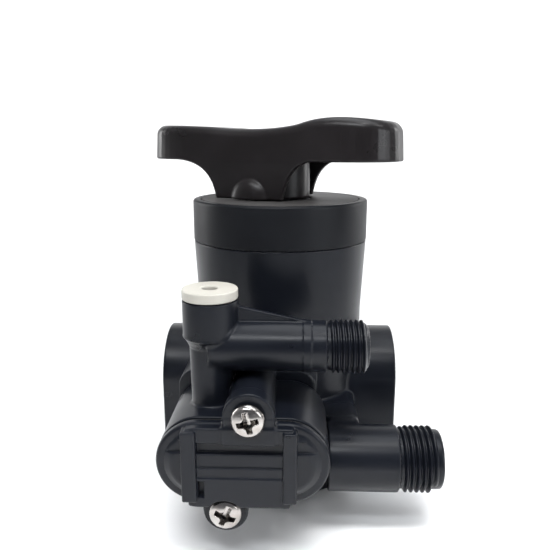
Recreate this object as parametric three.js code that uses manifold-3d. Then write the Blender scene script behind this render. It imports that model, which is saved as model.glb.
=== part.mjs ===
// Hand-operated multiport valve with ceramic discs, for a small water-treatment tank.
// Millimetres, +Z up. The origin is on the valve axis at the underside of the tank thread.
// X runs through the two side ports and -Y is the front, where the injector is.
import * as THREE from "three";
import { mergeVertices } from "three/addons/utils/BufferGeometryUtils.js";
import Module from "manifold-3d";

const wasm = await Module();
wasm.setup();

// ---- driving dimensions ------------------------------------------------------------------
const GAP = 0.3; // clearance between touching pieces

const PORT = { z: 34.5, reach: 43.4, r: 17.75, thread: 12.1, depth: 18, duct: 8, flatTo: 11.7 };
const BODY = { r: 31, rTop: 32.3, seam: 88, flareFrom: 62, boreR: 29.6, boreFrom: 76.5, floor: 57.5 };
const CHAMBER_R = 27.2;
const BASE = { r: 36.4, flangeR: 39.5, flangeFrom: 9.4, neckR: 35, pitch: 3.175, crests: 2, riserR: 13.5 };
const CAP = { r: 32.4, top: 102.8, under: 92.6, spigotR: 29.2, spigotIn: 26, spigotFrom: 77, boreR: 7.3 };
const DIAL = { rIn: 11.5, rOut: 29.5, thick: 0.6 };

const STACK = { seal: 2, disc: 8, rotor: 12.8, washer: 1.5 };
const STEM = { r: 7, square: 9.6, squareFrom: 103.4, top: 118.5, holeR: 1.7 };
const DETENT = { radius: 20, ballR: 2, track: 0.9, notch: 0.6, positions: 6, wire: 0.35, coils: 4, coilR: 1.5,
  pocket: 7.4 };

const DRAIN = { y: -48, z: 23.6, r: 10.5, threadR: 10.4, from: 16.8, threadFrom: 39.4, end: 52.7, bore: 6.5,
  pitch: 1.814, crests: 6, armX0: 8, armX1: 27.6, armTop: 33.1 };
const BRINE = { y: -54, z: 63.7, r: 7.7, threadR: 8, threadFrom: 15.8, end: 27.8, bore: 4.6,
  pitch: 1.5, crests: 7 };
const COLUMN = { x: -19.2, y: -54, r: 8.3, rLow: 6.5, stepZ: 64.5, top: 78, bore: 4, cup: 6.2 };
const BUSH = { r: 8.45, thick: 3.1, stemR: 5.9, stemLength: 6, bore: 2.4 };

const HOUSING = { x: -8.7, z: 33.5, halfW: 25.2, halfH: 12.5, front: -66, back: -38.3, wall: 3.2 };
const COVER = { front: -71.6, rib: -73.8, plate: 3, grooveTop: 40.9, grooveFrom: 37.4,
  step1: 33.3, step2: 30.4 };
const PAD = { x0: -33, x1: 13.2, z0: 20.5, z1: 49, corner: 6, front: -38, back: -24 };
const SCREWS = {
  top: { x: -6.7, z: 48.8, ear: 7.3, boss: 6.6, seat: -72.6 },
  bottom: { x: -13.8, z: 17.8, ear: 6.6, boss: 6, seat: -69.4 },
};
const SCREW = { head: 4.8, headH: 3, shank: 1.9, length: 38, pilot: 2.25 };

const HANDLE = { turn: -24, left: -51, right: 45.2, halfW: 16, wall: 2.6, lobeUnder: 116.8, skirt: 103.2,
  hubR: 11, stemLeft: -19, stemRight: 7.4, archR: 12.5 };

const ROUND = 36; // facets round a large diameter
const FINE = 18; // facets round a small diameter

// ---- materials ---------------------------------------------------------------------------
const material = (color, roughness, metalness = 0) =>
  new THREE.MeshStandardMaterial({ color, roughness, metalness });
const BLACK = material(0x1d2127, 0.42);
const CAP_BLACK = material(0x1b1d22, 0.36);
const HANDLE_BLACK = material(0x1f1c1f, 0.33);
const LABEL = material(0x55504f, 0.4);
const WHITE = material(0xe4e1d6, 0.5);
const STEEL = material(0xc9c9cc, 0.25, 1);
const RUBBER = material(0x161616, 0.75);
const CERAMIC = material(0xe9e6dd, 0.22);
const ACETAL = material(0xd8d6cc, 0.45);

// ---- solids ------------------------------------------------------------------------------
// A closed three.js geometry as a solid that can be joined and cut.
function solid(geometry) {
  const bare = geometry.clone();
  bare.deleteAttribute("normal");
  bare.deleteAttribute("uv");
  const merged = mergeVertices(bare, 1e-4);
  const points = merged.getAttribute("position").array;
  const kept = [];
  let volume = 0;
  for (let i = 0; i < merged.index.count; i += 3) {
    const [a, b, c] = [0, 1, 2].map((k) => merged.index.getX(i + k));
    if (a === b || b === c || c === a) continue;
    kept.push(a, b, c);
    const [p, q, r] = [a, b, c].map((k) => new THREE.Vector3().fromArray(points, 3 * k));
    volume += p.dot(q.cross(r));
  }
  if (volume < 0) kept.reverse();
  return new wasm.Manifold(new wasm.Mesh({
    numProp: 3, vertProperties: Float32Array.from(points), triVerts: Uint32Array.from(kept) }));
}

const join = (first, ...rest) => rest.reduce((sum, part) => sum.add(part), first);
const cut = (first, ...rest) => rest.reduce((left, part) => left.subtract(part), first);

// Stands a geometry's own Y axis along +Z, along +X, or forward along -Y, then moves it.
function stand(geometry, axis, [x, y, z]) {
  if (axis === "z") geometry.rotateX(Math.PI / 2);
  if (axis === "x") geometry.rotateZ(-Math.PI / 2);
  if (axis === "front") geometry.rotateX(Math.PI);
  return geometry.translate(x, y, z);
}

// A turned solid. The profile is [radius, height] pairs.
function turned(profile, facets = ROUND, axis = "z", at = [0, 0, 0]) {
  const points = profile.map(([r, h]) => new THREE.Vector2(Math.max(r, 0), h));
  return solid(stand(new THREE.LatheGeometry(points, facets), axis, at));
}

// A solid round bar from one height to another.
const bar = (r, from, to, facets = FINE, axis = "z", at = [0, 0, 0]) =>
  turned([[0, from], [r, from], [r, to], [0, to]], facets, axis, at);

// A ring of rectangular section.
const ring = (rIn, rOut, from, to, facets = ROUND, axis = "z", at = [0, 0, 0]) =>
  turned([[rIn, from], [rOut, from], [rOut, to], [rIn, to], [rIn, from]], facets, axis, at);

// A bar that runs forward, from y = back to y = front, at x, z.
const forward = (r, back, front, x, z, facets = FINE) => bar(r, -back, -front, facets, "front", [x, 0, z]);

function box(x0, x1, y0, y1, z0, z1) {
  const geometry = new THREE.BoxGeometry(x1 - x0, y1 - y0, z1 - z0);
  return solid(geometry.translate((x0 + x1) / 2, (y0 + y1) / 2, (z0 + z1) / 2));
}

// A torus of rubber about the Z axis.
function oRing(radius, section, x, y, z, axis = "z") {
  const geometry = new THREE.TorusGeometry(radius, section, 6, radius > 20 ? 32 : 16);
  if (axis === "front") geometry.rotateX(Math.PI / 2);
  return solid(geometry.translate(x, y, z));
}

// Screw-thread crests as rings on a bar: [radius, height] pairs for a turned profile.
function threadProfile(r, depth, pitch, crests, from) {
  const points = [];
  for (let i = 0; i < crests; i += 1) {
    const h = from + i * pitch;
    points.push([r - depth, h], [r, h + 0.42 * pitch], [r, h + 0.58 * pitch]);
  }
  points.push([r - depth, from + crests * pitch]);
  return points;
}

// An upright outline in X and Z, pushed forward from y = back to y = front.
function pushedForward(shape, back, front, curve = 12) {
  const depth = back - front;
  const geometry = new THREE.ExtrudeGeometry(shape, { depth, bevelEnabled: false, curveSegments: curve });
  return solid(geometry.rotateX(Math.PI / 2).translate(0, back, 0));
}

// A flat-sided oval in X and Z.
function oval(x, z, halfW, halfH) {
  const run = halfW - halfH;
  const shape = new THREE.Shape();
  shape.moveTo(x - run, z - halfH);
  shape.lineTo(x + run, z - halfH);
  shape.absarc(x + run, z, halfH, -Math.PI / 2, Math.PI / 2, false);
  shape.lineTo(x - run, z + halfH);
  shape.absarc(x - run, z, halfH, Math.PI / 2, 1.5 * Math.PI, false);
  return shape;
}

// A rectangle with rounded corners in X and Z.
function roundedRectangle(x0, x1, z0, z1, r) {
  const shape = new THREE.Shape();
  shape.moveTo(x0 + r, z0);
  shape.absarc(x1 - r, z0 + r, r, -Math.PI / 2, 0, false);
  shape.absarc(x1 - r, z1 - r, r, 0, Math.PI / 2, false);
  shape.absarc(x0 + r, z1 - r, r, Math.PI / 2, Math.PI, false);
  shape.absarc(x0 + r, z0 + r, r, Math.PI, 1.5 * Math.PI, false);
  return shape;
}

// ---- assembly ----------------------------------------------------------------------------
const valve = new THREE.Group();
const knob = new THREE.Group(); // everything that turns with the handle
knob.rotation.z = THREE.MathUtils.degToRad(HANDLE.turn);
valve.add(knob);

function piece(parent, name, body, look) {
  const { vertProperties, triVerts } = body.getMesh();
  const geometry = new THREE.BufferGeometry();
  geometry.setAttribute("position", new THREE.BufferAttribute(vertProperties, 3));
  geometry.setIndex(new THREE.BufferAttribute(triVerts, 1));
  const mesh = new THREE.Mesh(geometry, look);
  mesh.name = name;
  parent.add(mesh);
}

// Heights of the stack of discs, from the chamber's floor up.
const sealTop = BODY.floor + GAP + STACK.seal;
const fixedTop = sealTop + GAP + STACK.disc;
const movingTop = fixedTop + GAP + STACK.disc;
const rotorTop = movingTop + GAP + STACK.rotor;
const ballZ = rotorTop - DETENT.track + GAP + DETENT.ballR; // the balls ride in the track between notches

// ---- valve body --------------------------------------------------------------------------
// One side port: a round top over straight sides that run down to the base flange.
function portBlock() {
  const shape = new THREE.Shape();
  shape.moveTo(-PORT.r, PORT.flatTo - 1);
  shape.lineTo(PORT.r, PORT.flatTo - 1);
  shape.lineTo(PORT.r, PORT.z);
  shape.absarc(0, PORT.z, PORT.r, 0, Math.PI, false);
  const depth = 2 * PORT.reach;
  const geometry = new THREE.ExtrudeGeometry(shape, { depth, bevelEnabled: false, curveSegments: 20 });
  // the outline's own axes X, Y and depth become Y, Z and X
  const toWorld = new THREE.Matrix4().makeBasis(
    new THREE.Vector3(0, 1, 0), new THREE.Vector3(0, 0, 1), new THREE.Vector3(1, 0, 0));
  return solid(geometry.applyMatrix4(toWorld).translate(-PORT.reach, 0, 0));
}

function bodyShell() {
  const crestDepth = 1.6;
  const thread = threadProfile(BASE.r, crestDepth, BASE.pitch, BASE.crests, 0.8);
  return turned([
    [0, 0], [BASE.r - crestDepth, 0], ...thread, [BASE.neckR, 8], [BASE.neckR, BASE.flangeFrom],
    [BASE.flangeR, BASE.flangeFrom], [BASE.flangeR, PORT.flatTo], [BODY.r, PORT.flatTo],
    [BODY.r, BODY.flareFrom], [BODY.rTop, BODY.seam - GAP], [0, BODY.seam - GAP],
  ]);
}

function drainBranch() {
  const { y, z, from, armX0, armX1, armTop } = DRAIN;
  const arm = join(
    pushedForward(roundedRectangle(armX0, armX1, PORT.flatTo, armTop, 3), -15, PAD.front, 3),
    pushedForward(roundedRectangle(from, armX1, z - 6, armTop, 3), -30, y - 1, 3),
  );
  const crestDepth = 1.1;
  const pipe = turned([
    [0, DRAIN.from], [DRAIN.r, DRAIN.from], [DRAIN.r, DRAIN.threadFrom - 0.6],
    ...threadProfile(DRAIN.threadR, crestDepth, DRAIN.pitch, DRAIN.crests, DRAIN.threadFrom),
    [DRAIN.threadR - crestDepth, DRAIN.end - 1], [DRAIN.threadR - crestDepth - 1, DRAIN.end], [0, DRAIN.end],
  ], FINE, "x", [0, DRAIN.y, DRAIN.z]);
  return join(arm, pipe);
}

function valveBody() {
  const { top, bottom } = SCREWS;
  const outside = join(
    bodyShell(), portBlock(), drainBranch(),
    pushedForward(roundedRectangle(PAD.x0, PAD.x1, PAD.z0, PAD.z1, PAD.corner), PAD.back, PAD.front, 5),
    forward(top.boss, -22, PAD.front, top.x, top.z),
    forward(bottom.boss, -22, PAD.front, bottom.x, bottom.z),
  );
  const portSocket = (side) => {
    const { reach, depth, thread, duct, z } = PORT;
    const socket = side > 0 ? [reach - depth, reach + 1] : [-reach - 1, depth - reach];
    const way = side > 0 ? [10, reach] : [-reach, -10];
    return join(
      bar(thread, ...socket, FINE, "x", [0, 0, z]),
      bar(duct, ...way, FINE, "x", [0, 0, z]),
    );
  };
  const riser = (x, y, r) => bar(r, PORT.z, BODY.floor + 1, 10, "z", [x, y, 0]);
  const drainX = DRAIN.from + 5.7;
  return cut(
    outside,
    bar(CHAMBER_R, BODY.floor, BODY.seam, ROUND),
    bar(BODY.boreR, BODY.boreFrom, BODY.seam + 1, ROUND),
    portSocket(1), portSocket(-1),
    riser(15, 0, 5.5), riser(-15, 0, 5.5), bar(5.5, 15, BODY.floor + 1, 10),
    bar(BASE.riserR, -1, 19, FINE),
    ring(18, 30, -1, 6),
    bar(DRAIN.bore, DRAIN.from + 4, DRAIN.end + 1, FINE, "x", [0, DRAIN.y, DRAIN.z]),
    forward(4, -16, DRAIN.y, drainX, DRAIN.z, 10),
    bar(3.5, DRAIN.z, BODY.floor + 1, 10, "z", [drainX - 8.5, -16, 0]),
    forward(3.6, -16, DRAIN.y, drainX - 8.5, DRAIN.z, 10).intersect(box(-50, 50, -20, 20, 0, 60)),
    forward(3, -15, PAD.front - 1, -18, HOUSING.z, 10),
    forward(3, -15, PAD.front - 1, -1, HOUSING.z, 10),
    forward(SCREW.pilot, -30, PAD.front - 1, top.x, top.z, 10),
    forward(SCREW.pilot, -30, PAD.front - 1, bottom.x, bottom.z, 10),
  );
}

// ---- cap, dial and handle ----------------------------------------------------------------
function cap() {
  const { r, top, under, spigotR, spigotIn, spigotFrom, boreR } = CAP;
  const lip = 1.1;
  const grooveR = 9.4;
  const grooves = [95, 98.4];
  const ballPocket = (angle) => {
    const at = [DETENT.radius * Math.cos(angle), DETENT.radius * Math.sin(angle), 0];
    return bar(DETENT.ballR + GAP, under - 1, under + DETENT.pocket, 16, "z", at);
  };
  return cut(
    turned([
      [boreR, under], [spigotIn, under], [spigotIn, spigotFrom], [spigotR, spigotFrom], [spigotR, BODY.seam],
      [r - 0.4, BODY.seam], [r, BODY.seam + 0.4], [r, top - 0.8], [r - 0.8, top], [r - 1.6 - lip, top],
      [r - 1.6 - lip, top - DIAL.thick - GAP], [DIAL.rIn - GAP, top - DIAL.thick - GAP],
      [DIAL.rIn - GAP, top], [boreR, top], [boreR, under],
    ]),
    ...grooves.map((z) => ring(boreR - 1, grooveR, z, z + 2.2, FINE)),
    ring(spigotR - 1.3, spigotR + 1, 79, 81.4),
    ballPocket(0), ballPocket(Math.PI),
  );
}

function dialPlate() {
  return ring(DIAL.rIn, DIAL.rOut - GAP, CAP.top - DIAL.thick, CAP.top, ROUND);
}

// The handle from the side, in its own X and Z: two lobes over a narrower stem.
function handleSide(inset) {
  const { left, right, lobeUnder, skirt, stemLeft, stemRight, archR } = HANDLE;
  const under = lobeUnder - (inset ? 2 * inset : 0);
  const foot = skirt - (inset ? 2 * inset : 0);
  const shape = new THREE.Shape();
  shape.moveTo(stemLeft + inset, foot);
  shape.lineTo(stemRight - inset, foot);
  shape.quadraticCurveTo(stemRight + 2, under, stemRight + archR, under);
  shape.lineTo(right - inset, under);
  shape.lineTo(right - inset, 126.5);
  shape.quadraticCurveTo(right - 1 - inset, 129.8 - inset, right - 6, 130.3 - inset);
  shape.bezierCurveTo(32, 131.2 - inset, 22, 132.4 - inset, 12, 129.2 - inset);
  shape.bezierCurveTo(4, 127.6 - inset, -8, 127.2 - inset, -22, 128.6 - inset);
  shape.lineTo(left + 5, 129.4 - inset);
  shape.quadraticCurveTo(left + inset + 0.8, 129.2 - inset, left + inset, 125.5);
  shape.lineTo(left + inset, under);
  shape.lineTo(stemLeft - archR, under);
  shape.quadraticCurveTo(stemLeft - 2, under, stemLeft + inset, foot);
  const halfW = HANDLE.halfW + 2;
  return pushedForward(shape, halfW, -halfW, 8);
}

// The handle from above: two rounded ends on a slightly waisted bar.
function handlePlan(inset) {
  const { left, right, halfW } = HANDLE;
  const w = halfW - inset;
  const shape = new THREE.Shape();
  shape.moveTo(left + inset, 0);
  shape.bezierCurveTo(left + inset, w * 0.9, left + 12, w, -22, w - 1);
  shape.bezierCurveTo(-8, w - 2, 6, w - 2, 18, w - 0.6);
  shape.bezierCurveTo(30, w, right - inset, w * 0.9, right - inset, 0);
  shape.bezierCurveTo(right - inset, -w * 0.9, 30, -w, 18, -w + 0.6);
  shape.bezierCurveTo(6, -w + 2, -8, -w + 2, -22, -w + 1);
  shape.bezierCurveTo(left + 12, -w, left + inset, -w * 0.9, left + inset, 0);
  const geometry = new THREE.ExtrudeGeometry(shape, { depth: 40, bevelEnabled: false, curveSegments: 8 });
  return solid(geometry.translate(0, 0, 98));
}

function handle() {
  const shell = cut(
    handleSide(0).intersect(handlePlan(0)),
    handleSide(HANDLE.wall).intersect(handlePlan(HANDLE.wall)),
  );
  const hub = bar(HANDLE.hubR, HANDLE.skirt + 0.8, 126.5, FINE);
  const web = 1.1;
  const webs = join(
    box(-18, -6, -web, web, 108, 126), box(6, 22, -web, web, 118, 127),
    box(-web, web, -15, -6, 106, 126), box(-web, web, 6, 15, 106, 126),
  );
  const { stemLeft, stemRight, skirt, halfW } = HANDLE;
  const domeR = 7.2;
  const dome = solid(new THREE.SphereGeometry(domeR, 20, 14).scale(1, 0.8, 1)
    .translate((stemLeft + stemRight) / 2, 4.8 - halfW, skirt + 0.2))
    .intersect(box(-50, 50, -halfW - 2, 6 - halfW, skirt, 130));
  const half = STEM.square / 2 + GAP / 2;
  return cut(
    join(shell, hub, webs, dome),
    box(-half, half, -half, half, HANDLE.skirt - 2, STEM.top + GAP),
    bar(2.8, STEM.top - 1, 130, 16),
    bar(5.6, STEM.top + 2.3, 132, FINE),
  );
}

// ---- turning parts inside ----------------------------------------------------------------
// The rotor drives the moving disc through two tongues and carries the handle on its stem.
function spindle() {
  const rotorR = 25.4;
  const bottom = movingTop + GAP;
  const skin = 4;
  const drum = turned([
    [0, bottom], [rotorR, bottom], [rotorR, rotorTop], [STEM.r, rotorTop],
    [STEM.r, STEM.squareFrom], [0, STEM.squareFrom],
  ]);
  const hollow = ring(10, rotorR - skin, bottom - 1, rotorTop - skin);
  const half = STEM.square / 2;
  const square = box(-half, half, -half, half, STEM.squareFrom - 1, STEM.top)
    .intersect(bar(STEM.r - 0.6, STEM.squareFrom - 2, STEM.top + 1));
  const tongue = (side) => box(side * 18 - 3, side * 18 + 3, -4, 4, movingTop - 2.6, rotorTop - skin + 1);
  const trackRing = new THREE.TorusGeometry(DETENT.radius, DETENT.ballR + GAP, 7, 24);
  const track = solid(trackRing.translate(0, 0, ballZ));
  const notch = (i) => {
    const angle = (i * 2 * Math.PI) / DETENT.positions - THREE.MathUtils.degToRad(HANDLE.turn);
    const ball = new THREE.SphereGeometry(DETENT.ballR + GAP, 8, 6);
    const at = [DETENT.radius * Math.cos(angle), DETENT.radius * Math.sin(angle), ballZ - DETENT.notch];
    return solid(ball.translate(...at));
  };
  const notches = Array.from({ length: DETENT.positions }, (_, i) => notch(i));
  return cut(
    join(cut(drum, hollow), square, tongue(1), tongue(-1)),
    track, ...notches, bar(STEM.holeR, 98, STEM.top + 1, 12),
  );
}

function movingDisc() {
  const r = 26;
  const slot = (side) => box(side * 18 - 3.4, side * 18 + 3.4, -4.4, 4.4, movingTop - 3, movingTop + 1);
  const pocket = new THREE.Shape();
  pocket.absarc(0, 0, 19, 0.35, 1.9, false);
  pocket.absarc(0, 0, 9, 1.9, 0.35, true);
  const channel = (turn) => {
    const geometry = new THREE.ExtrudeGeometry(pocket, { depth: 5, bevelEnabled: false, curveSegments: 8 });
    return solid(geometry.rotateZ(turn).translate(0, 0, fixedTop + GAP - 1));
  };
  return cut(bar(r, fixedTop + GAP, movingTop, ROUND), slot(1), slot(-1), channel(0), channel(Math.PI));
}

// ---- pieces that stay in the chamber -----------------------------------------------------
const PORTS_IN_DISC = [[15, 0], [-15, 0], [0, 0], [14, -16], [-14, -16], [0, 17]];

function pierced(r, from, to, holeR) {
  const holes = PORTS_IN_DISC.map(([x, y]) => bar(holeR, from - 1, to + 1, 10, "z", [x, y, 0]));
  return cut(bar(r, from, to, ROUND), ...holes);
}

function detentSpring(angle) {
  const { ballR, pocket, coils, coilR, wire, radius } = DETENT;
  const from = ballZ + ballR + GAP + wire;
  const height = CAP.under + pocket - GAP - wire - from;
  class Helix extends THREE.Curve {
    getPoint(t, target = new THREE.Vector3()) {
      const a = 2 * Math.PI * coils * t;
      return target.set(coilR * Math.cos(a), coilR * Math.sin(a), height * t);
    }
  }
  const section = new THREE.Shape();
  section.absarc(0, 0, wire, 0, 2 * Math.PI, false);
  const geometry = new THREE.ExtrudeGeometry(section, {
    steps: coils * 7, curveSegments: 3, extrudePath: new Helix(), bevelEnabled: false });
  return solid(geometry.translate(radius * Math.cos(angle), radius * Math.sin(angle), from));
}

function detentBall(angle) {
  const { ballR, radius } = DETENT;
  const geometry = new THREE.SphereGeometry(ballR, 12, 8);
  return solid(geometry.translate(radius * Math.cos(angle), radius * Math.sin(angle), ballZ));
}

// ---- injector ----------------------------------------------------------------------------
function brinePipe() {
  const crestDepth = 0.92;
  const collar = 7.9;
  return turned([
    [0, COLUMN.x], [BRINE.r, COLUMN.x], [BRINE.r, 8.5], [collar, 8.7], [collar, 10.8], [BRINE.r, 11],
    [BRINE.r, BRINE.threadFrom - 0.5],
    ...threadProfile(BRINE.threadR, crestDepth, BRINE.pitch, BRINE.crests, BRINE.threadFrom),
    [BRINE.threadR - crestDepth, BRINE.end - 0.8],
    [BRINE.threadR - crestDepth - 0.8, BRINE.end], [0, BRINE.end],
  ], FINE, "x", [0, BRINE.y, BRINE.z]);
}

function injectorColumn() {
  return turned([
    [0, 40], [COLUMN.rLow - 0.4, 40], [COLUMN.rLow, COLUMN.stepZ], [COLUMN.r, COLUMN.stepZ + 2.8],
    [COLUMN.r, COLUMN.top], [0, COLUMN.top],
  ], FINE, "z", [COLUMN.x, COLUMN.y, 0]);
}

// A thin rib in the plane of the column and the pipe.
function gusset() {
  const shape = new THREE.Shape();
  shape.moveTo(COLUMN.x, BRINE.z);
  shape.lineTo(10.5, BRINE.z);
  shape.lineTo(10.5, BRINE.z + BRINE.r);
  shape.lineTo(COLUMN.x + COLUMN.r, 76);
  shape.lineTo(COLUMN.x, 76);
  return pushedForward(shape, COLUMN.y + 1, COLUMN.y - 1, 4);
}

function injectorBody() {
  const { x, z, halfW, halfH, front, back, wall } = HOUSING;
  const { top, bottom } = SCREWS;
  const outside = join(
    pushedForward(oval(x, z, halfW, halfH), back, front, 14),
    forward(top.boss, back, front, top.x, top.z),
    box(top.x - 5, top.x + 5, front, back, z, top.z),
    forward(bottom.boss, back, front, bottom.x, bottom.z),
    box(bottom.x - 5, bottom.x + 5, front, back, bottom.z, z),
    injectorColumn(), brinePipe(), gusset(),
  );
  return cut(
    outside,
    pushedForward(oval(x, z, halfW - wall, halfH - wall), back - 4, front - 1, 12),
    bar(COLUMN.bore, 40, COLUMN.top + 1, 16, "z", [COLUMN.x, COLUMN.y, 0]),
    bar(COLUMN.cup, COLUMN.top - 7, COLUMN.top + 1, FINE, "z", [COLUMN.x, COLUMN.y, 0]),
    bar(BRINE.bore, COLUMN.x, BRINE.end + 1, FINE, "x", [0, BRINE.y, BRINE.z]),
    forward(3, back + 1, front, -18, z, 10),
    forward(3, back + 1, front, -1, z, 10),
    ring(3.8, 6.2, 38, 39.7, FINE, "front", [-18, 0, z]),
    ring(3.8, 6.2, 38, 39.7, FINE, "front", [-1, 0, z]),
    forward(SCREW.pilot, back + 1, front - 1, top.x, top.z, 10),
    forward(SCREW.pilot, back + 1, front - 1, bottom.x, bottom.z, 10),
  );
}

function injectorCover() {
  const { x, z, halfW, halfH } = HOUSING;
  const { top, bottom } = SCREWS;
  const back = HOUSING.front - 0.9;
  const plateFront = back - COVER.plate;
  const ear = ({ ear: r, x: ex, z: ez, seat }, lean) => join(
    forward(r, back, seat, ex, ez),
    box(ex - r, ex + r, seat, back, Math.min(ez, ez + lean), Math.max(ez, ez + lean)),
  );
  const rib = (x0, x1) => box(x0, x1, COVER.rib, back, z - halfH + 2.2, z + halfH - 1.2);
  // the face steps forward from the top down, below a groove
  const band = (z0, z1, front) => pushedForward(oval(x, z, halfW - 2, halfH - 1), back, front, 14)
    .intersect(box(x - halfW, x + halfW, front, back, z0, z1));
  const bottomZ = z - halfH;
  const boss = join(
    pushedForward(oval(x, z, halfW, halfH), back, plateFront, 14),
    band(COVER.grooveTop, z + halfH, COVER.front), band(COVER.step1, COVER.grooveFrom, COVER.front - 0.2),
    band(COVER.step2, COVER.step1, COVER.front - 0.8), band(bottomZ, COVER.step2, COVER.front - 1.4),
    ear(top, -6), ear(bottom, 6),
    rib(-25.8, -21.5), rib(3, 6.9),
  );
  const hole = ({ x: ex, z: ez }) => forward(SCREW.pilot, back + 1, -80, ex, ez, 10);
  const sink = forward(5.3, bottom.seat, bottom.seat - 8, bottom.x, bottom.z);
  return cut(boss, hole(top), hole(bottom), sink);
}

function coverGasket() {
  const { x, z, halfW, halfH, front } = HOUSING;
  return cut(
    pushedForward(oval(x, z, halfW - 0.5, halfH - 0.5), front - GAP, front - GAP - 0.3, 9),
    pushedForward(oval(x, z, halfW - 3, halfH - 3), front + 1, front - 3, 9),
  );
}

function injectorNozzle() {
  return cut(
    turned([[0, 0], [5, 0], [5, 3], [3.6, 4], [2.2, 12], [0, 12]], 20, "x", [-27, -52, HOUSING.z]),
    bar(1.2, -1, 13, 12, "x", [-27, -52, HOUSING.z]),
  );
}

function injectorThroat() {
  return cut(
    turned([[0, 0], [5, 0], [5, 4], [3.4, 5], [3.4, 18], [0, 18]], 20, "x", [-13, -52, HOUSING.z]),
    bar(1.6, -1, 19, 12, "x", [-13, -52, HOUSING.z]),
  );
}

function coverScrew({ x, z, seat }) {
  const { head, headH, shank, length } = SCREW;
  const underHead = -(seat - GAP);
  const dome = turned([
    [0, underHead - length], [shank, underHead - length + 2], [shank, underHead], [head, underHead],
    [head, underHead + 1], [head - 0.6, underHead + 2], [head - 1.9, underHead + headH - 0.25],
    [0, underHead + headH],
  ], 24, "front", [x, 0, z]);
  const slot = (w, h) => box(x - w, x + w, seat - GAP - headH - 1, seat - GAP - headH + 1.7, z - h, z + h);
  return cut(dome, slot(2.7, 0.5), slot(0.5, 2.7));
}

function columnBush() {
  const { r, thick, stemR, stemLength, bore } = BUSH;
  const seat = COLUMN.top + GAP;
  return turned([
    [bore, seat - stemLength], [stemR, seat - stemLength], [stemR, seat], [r, seat],
    [r, seat + thick - 0.5], [r - 0.5, seat + thick], [bore + 0.6, seat + thick],
    [bore, seat + thick - 0.6], [bore, seat - stemLength],
  ], FINE, "z", [COLUMN.x, COLUMN.y, 0]);
}

// ---- handle fasteners --------------------------------------------------------------------
function handleScrew() {
  const seat = STEM.top + 2.3 + GAP;
  return cut(
    turned([
      [0, 101], [1.4, 101], [1.4, seat], [4.4, seat], [4.4, seat + 1.6], [3.2, seat + 2.6], [0, seat + 2.6],
    ], 20),
    box(-2.4, 2.4, -0.5, 0.5, seat + 1.2, seat + 3), box(-0.5, 0.5, -2.4, 2.4, seat + 1.2, seat + 3),
  );
}

function handlePlug() {
  return turned([[0, 124.6], [5.3, 124.6], [5.3, 127], [4.8, 127.3], [0, 127.5]], FINE);
}

piece(valve, "valve_body", valveBody(), BLACK);
piece(valve, "cap", cap(), CAP_BLACK);
piece(valve, "dial_plate", dialPlate(), LABEL);
piece(knob, "handle", handle(), HANDLE_BLACK);
piece(knob, "handle_screw", handleScrew(), STEEL);
piece(knob, "handle_plug", handlePlug(), HANDLE_BLACK);
piece(knob, "spindle", spindle(), BLACK);
piece(knob, "moving_disc", movingDisc(), CERAMIC);
piece(knob, "antifriction_washer", ring(8.6, 15.5, rotorTop + GAP, CAP.under - GAP, FINE), ACETAL);
piece(valve, "fixed_disc", pierced(26, sealTop + GAP, fixedTop, 4.2), CERAMIC);
piece(valve, "disc_seal", pierced(26.6, BODY.floor + GAP, sealTop, 4.8), RUBBER);
piece(valve, "spindle_o_ring_lower", oRing(8.3, 0.75, 0, 0, 96.1), RUBBER);
piece(valve, "spindle_o_ring_upper", oRing(8.3, 0.75, 0, 0, 99.5), RUBBER);
piece(valve, "cap_o_ring", oRing(28.8, 0.6, 0, 0, 80.2), RUBBER);
for (const [tag, angle] of [["a", 0], ["b", Math.PI]]) {
  piece(valve, `detent_ball_${tag}`, detentBall(angle), STEEL);
  piece(valve, `detent_spring_${tag}`, detentSpring(angle), STEEL);
}
piece(valve, "base_o_ring", oRing(36.8, 1.3, 0, 0, 7.6), RUBBER);
piece(valve, "riser_o_ring", ring(BASE.riserR - 1.4, BASE.riserR - GAP, 10, 12.4, FINE), RUBBER);
piece(valve, "injector_body", injectorBody(), BLACK);
piece(valve, "injector_cover", injectorCover(), BLACK);
piece(valve, "cover_gasket", coverGasket(), RUBBER);
piece(valve, "injector_nozzle", injectorNozzle(), ACETAL);
piece(valve, "injector_throat", injectorThroat(), ACETAL);
piece(valve, "injector_o_ring_left", oRing(5, 0.65, -18, -39, HOUSING.z, "front"), RUBBER);
piece(valve, "injector_o_ring_right", oRing(5, 0.65, -1, -39, HOUSING.z, "front"), RUBBER);
piece(valve, "cover_screw_top", coverScrew(SCREWS.top), STEEL);
piece(valve, "cover_screw_bottom", coverScrew(SCREWS.bottom), STEEL);
piece(valve, "column_bush", columnBush(), WHITE);
const inDrain = [0, DRAIN.y, DRAIN.z];
const inBrine = [0, BRINE.y, BRINE.z];
piece(valve, "drain_flow_washer", ring(2.2, DRAIN.bore - GAP, 41, 44.5, 20, "x", inDrain), RUBBER);
piece(valve, "brine_flow_button", ring(1, BRINE.bore - GAP, 19, 22, 20, "x", inBrine), RUBBER);

export default valve;
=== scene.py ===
import math

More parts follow.
